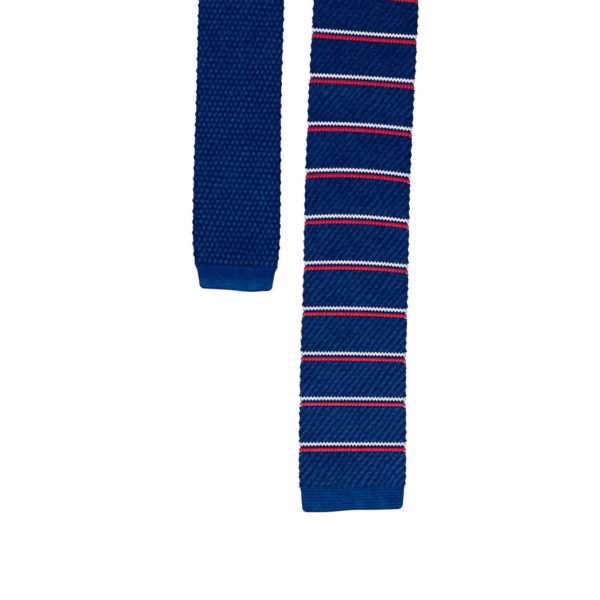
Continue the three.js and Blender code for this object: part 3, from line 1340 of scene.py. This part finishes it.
@dataclass(frozen=True)
class Stripes:
    """All the hoops of one contrast yarn, knitted round the front blade.

    A white hoop is one course of knit legs, a thick zigzag of one step a wale. A red hoop is a band
    with painted shade on its rims. Its lower half shows the slanted legs of its stitches, which have
    painted highlights on their tips and notches between them, and down the blade it turns paler and
    thinner as RED_FADE says.

    offset is how far below its white stripe's place a hoop lies, zigzag how far its course steps up
    and down, and proud how far it stands out of the knit. At the side edges it is drawn in. fullness
    bends its profile from a half round, of which width_share is used, to a fuller one; foot is the
    half width of its bedded back as a share of the half height, and slant the turn of a leg, in
    radians of a wale, from the middle to the rim.
    """

    kind: StripeKind
    finish: YarnFinish
    half_height: float
    offset: float
    zigzag: float
    proud: float
    drawn_in: float = 0.55 * MM
    wales: int = 65
    samples_per_wale: int = 4
    profile: int = 7
    width_share: float = 0.96
    fullness: float = 0.6
    foot: float = 0.8
    slant: float = 2.4

    def hoop(self, form: TieForm, white: float) -> tuple[Array, Array]:
        """One hoop's grid of points, round its profile and round the blade.

        The profile rises from its bed by a power of the half round's height, and two points on the bed
        close it. A leg is a raised cosine of the turn across a wale, which slants with the place across
        the hoop.

        Args:
            form: places the points.
            white: where the pair's white stripe lies.

        Returns:
            The points and their relief.
        """
        s = form.sizes
        around = self.wales * self.samples_per_wale
        turn = (np.arange(around) + 0.5) / around
        wale = np.arange(around)[None, :] / self.samples_per_wale
        step = np.abs((wale % 1) * 4 - 2) - 1
        face = np.linspace(-1, 1, self.profile)
        rise = np.concatenate([np.sqrt(np.clip(1 - (self.width_share * face) ** 2, 0, 1)), [0, 0]])[:, None]
        place = np.concatenate([face, [self.foot, -self.foot]])[:, None]
        bed = -s.stripe_depth
        top = bed + (self.proud - bed) * rise**self.fullness
        legs = 0.5 + 0.5 * np.cos(2 * math.pi * wale - self.slant * place)
        if self.kind is StripeKind.WHITE:
            look = white_stitches(rise, legs)
        else:
            look = red_stitches(place, legs, through(RED_FADE)(form.down(Side.FRONT, np.array(white))))
        middle = white + self.offset + self.zigzag * step
        course = middle + place * self.half_height * look.height - look.notch
        half_width, half_thickness = form.half_sizes(Side.FRONT, course)
        across, outward, n_across, n_outward = oval(turn[None, :], half_width, half_thickness, s.edge_share)
        top = top + (look.lift - self.drawn_in * n_across**2) * (top > bed)
        points = form.points(Side.FRONT, course, across + n_across * top, outward + n_outward * top)
        return points, look.relief

    def build(self, form: TieForm) -> bpy.types.Object:
        """Makes every hoop and joins them as one piece that stands for the stripe nodes.

        Args:
            form: places the points.

        Returns:
            The piece.
        """
        made = []
        places = stripe_places(form)
        for number, white in enumerate(places, 1):
            points, relief = self.hoop(form, white)
            rings, around = points.shape[:2]
            u = np.arange(around + 1) / self.samples_per_wale
            v = np.arange(rings) / rings
            name = f"{self.kind.value}_hoop_{number:02d}"
            made.append(tube_object(name, points, u, v, relief, hoop=True))
        with bpy.context.temp_override(
            active_object=made[0], selected_objects=made, selected_editable_objects=made
        ):
            bpy.ops.object.join()
        piece = made[0]
        piece.name = piece.data.name = f"{self.kind.value}_stripes"
        piece.data.materials.append(self.finish.material())
        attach(piece, "root")
        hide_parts(*(f"{self.kind.value}_stripe_{n:02d}" for n in range(1, len(places) + 1)))
        return piece


@dataclass(frozen=True)
class Lamp:
    """A square soft light that the camera doesn't see.

    spot is where it stands, aim the point that it faces, size its side and power its watts.
    """

    name: str
    spot: tuple[float, float, float]
    aim: tuple[float, float, float]
    size: float
    power: float
    colour: Colour = (0.98, 1.0, 1.08)

    def place(self) -> None:
        """Makes the light and turns it to its aim."""
        data = bpy.data.lights.new(self.name, "AREA")
        data.size, data.energy, data.color = self.size, self.power, self.colour
        lamp = bpy.data.objects.new(self.name, data)
        spot, aim = Vector(self.spot), Vector(self.aim)
        turn = (aim - spot).to_track_quat("-Z", "Y").to_matrix().to_4x4()
        lamp.matrix_world = Matrix.Translation(spot) @ turn
        lamp.visible_camera = False
        bpy.context.scene.collection.objects.link(lamp)


@dataclass(frozen=True)
class Studio:
    """The pale floor, the soft light and the camera.

    The camera looks level at the lower ends of the tie, rolled a little so that the tie leans as it
    does in the picture. scale is the real size of one pixel of the picture at the blades, roll is in
    degrees, and tail_end_row the row of the picture that the tail's end lies on. floor_glow is how
    much the floor shines to the camera alone, and fill the strength of the surroundings' light.
    """

    picture: int = 600
    scale: float = 0.543 * MM
    roll: float = 1.4
    distance: float = 1.7
    centre_x: float = 2.5 * MM
    tail_end_row: float = 290.5
    floor_drop: float = 0.36
    floor_radius: float = 2.4
    floor_sides: int = 96
    floor_colour: Colour = (0.86, 0.86, 0.87)
    floor_roughness: float = 0.8
    floor_glow: float = 0.5
    seen_colour: Colour = (1.0, 1.0, 1.0)
    fill_colour: Colour = (0.9, 0.94, 1.08)
    fill: float = 0.2
    lamps: tuple[Lamp, ...] = (
        Lamp("key", spot=(-0.5, -2.4, -1.3), aim=(0.0, -0.12, -0.58), size=1.1, power=156.0),
        Lamp("back", spot=(0.3, 1.3, 0.1), aim=(0.0, -0.1, -0.35), size=0.9, power=9.0),
        Lamp("top", spot=(0.0, -1.0, 0.9), aim=(0.0, -0.06, -0.1), size=0.8, power=3.0),
    )

    def camera(self, form: TieForm) -> None:
        """Makes the camera, level with the middle of the picture.

        Args:
            form: gives the place of the tail's end.
        """
        tail_end = form.points(Side.TAIL, *(np.array([x]) for x in (form.sizes.tail_length, 0.0, 0.0)))[0]
        middle = self.picture / 2
        height = tail_end[2] + (self.tail_end_row - middle) * self.scale - self.lean_drop(tail_end[0])
        data = bpy.data.cameras.new("camera")
        data.lens = data.sensor_width * self.distance / (self.picture * self.scale)
        eye = bpy.data.objects.new("camera", data)
        spot = Vector((self.centre_x, tail_end[1] - self.distance, height))
        level = Matrix.Rotation(math.radians(90), 4, "X")
        roll = Matrix.Rotation(math.radians(self.roll), 4, "Z")
        eye.matrix_world = Matrix.Translation(spot) @ level @ roll
        bpy.context.scene.collection.objects.link(eye)
        bpy.context.scene.camera = eye

    def lean_drop(self, x: float) -> float:
        """How much lower the picture shows a point at x because of the camera's roll."""
        return (x - self.centre_x) * math.tan(math.radians(self.roll))

    def floor(self) -> None:
        """Makes the round floor below the tie, paler to the camera than the light on it makes it."""
        low = cad_box[0].z - self.floor_drop
        angle = np.linspace(0, 2 * math.pi, self.floor_sides, endpoint=False)
        rim = np.stack([np.cos(angle), np.sin(angle), np.zeros_like(angle)], 1) * self.floor_radius
        mesh = bpy.data.meshes.new("floor")
        mesh.from_pydata((rim + np.array([0, 0, low])).tolist(), [], [list(range(len(angle)))])
        disc = bpy.data.objects.new("floor", mesh)
        bpy.context.scene.collection.objects.link(disc)
        paint = bpy.data.materials.new("pale_floor")
        paint.use_nodes = True
        t = ShaderTree(paint.node_tree)
        pale = rgba(self.floor_colour)
        surface = t.node("BsdfPrincipled", Base_Color=pale, Roughness=self.floor_roughness).outputs[0]
        strength = t.sum("MULTIPLY", t.node("LightPath").outputs["Is Camera Ray"], self.floor_glow)
        glow = t.node("Emission", Color=pale, Strength=strength).outputs[0]
        t.node("OutputMaterial", Surface=t.node("AddShader", in0=surface, in1=glow).outputs[0])
        mesh.materials.append(paint)

    def light(self) -> None:
        """Makes the even surroundings, white to the camera, and the lamps in front, behind and above."""
        world = bpy.data.worlds.new("studio")
        world.use_nodes = True
        bpy.context.scene.world = world
        t = ShaderTree(world.node_tree)
        seen = t.node("Background", Color=rgba(self.seen_colour), Strength=1.0).outputs[0]
        felt = t.node("Background", Color=rgba(self.fill_colour), Strength=self.fill).outputs[0]
        direct = t.node("LightPath").outputs["Is Camera Ray"]
        t.node("OutputWorld", Surface=t.node("MixShader", in0=direct, in1=felt, in2=seen).outputs[0])
        for lamp in self.lamps:
            lamp.place()


def build_tie(form: TieForm) -> list[bpy.types.Object]:
    """Builds the tie's pieces in order: hems and stripes, then the cloth that they belong to.

    Args:
        form: places the points.

    Returns:
        The pieces.
    """
    front_hem = Hem(
        "front_hem",
        Side.FRONT,
        seed=31,
        edge=(
            (-1.0, 0.4 * MM),
            (-0.5, 0.45 * MM),
            (0.0, -0.3 * MM),
            (0.4, 0.0),
            (0.8, 0.25 * MM),
            (1.0, 0.3 * MM),
        ),
        # The hem's painted light and shade down its length.
        glow=((0.0, 0.4), (0.3, 0.44), (0.7, 0.5), (0.88, 0.52), (1.0, 0.34)),
    ).build(form)
    tail_hem = Hem(
        "tail_hem",
        Side.TAIL,
        seed=37,
        edge=(
            (-1.0, 0.0),
            (-0.1, 0.0),
            (0.15, 0.35 * MM),
            (0.45, 0.5 * MM),
            (0.75, 0.0),
            (1.0, -0.2 * MM),
        ),
        # The hem's painted light and shade down its length.
        glow=((0.0, 0.3), (0.25, 0.22), (0.5, 0.3), (0.72, 0.58), (0.86, 0.64), (1.0, 0.28)),
        lines=0.14,
        check=0.18,
    ).build(form)
    white = Stripes(
        StripeKind.WHITE,
        WHITE_YARN,
        half_height=0.76 * MM,
        offset=0.0,
        zigzag=0.54 * MM,
        proud=0.5 * MM,
    ).build(form)
    red = Stripes(
        StripeKind.RED,
        RED_YARN,
        half_height=1.32 * MM,
        offset=form.sizes.stripe_step,
        zigzag=0.0,
        proud=0.35 * MM,
        samples_per_wale=5,
        profile=9,
    ).build(form)
    band = NeckBand().build(form)
    front = FrontBlade(front_hem, [white, red]).build(form)
    tail = TailBlade(tail_hem).build(form)
    return [band, front, front_hem, white, red, tail, tail_hem]


def main() -> None:
    """Builds the studio and the tie."""
    logging.basicConfig(level=logging.INFO, format="%(message)s")
    bpy.context.scene.view_settings.view_transform = "Standard"
    form = TieForm(TieSizes())
    studio = Studio()
    studio.camera(form)
    studio.floor()
    studio.light()
    for piece in build_tie(form):
        piece.data.calc_loop_triangles()
        log.info("%s: %d triangles", piece.name, len(piece.data.loop_triangles))


if __name__ == "__main__":
    main()
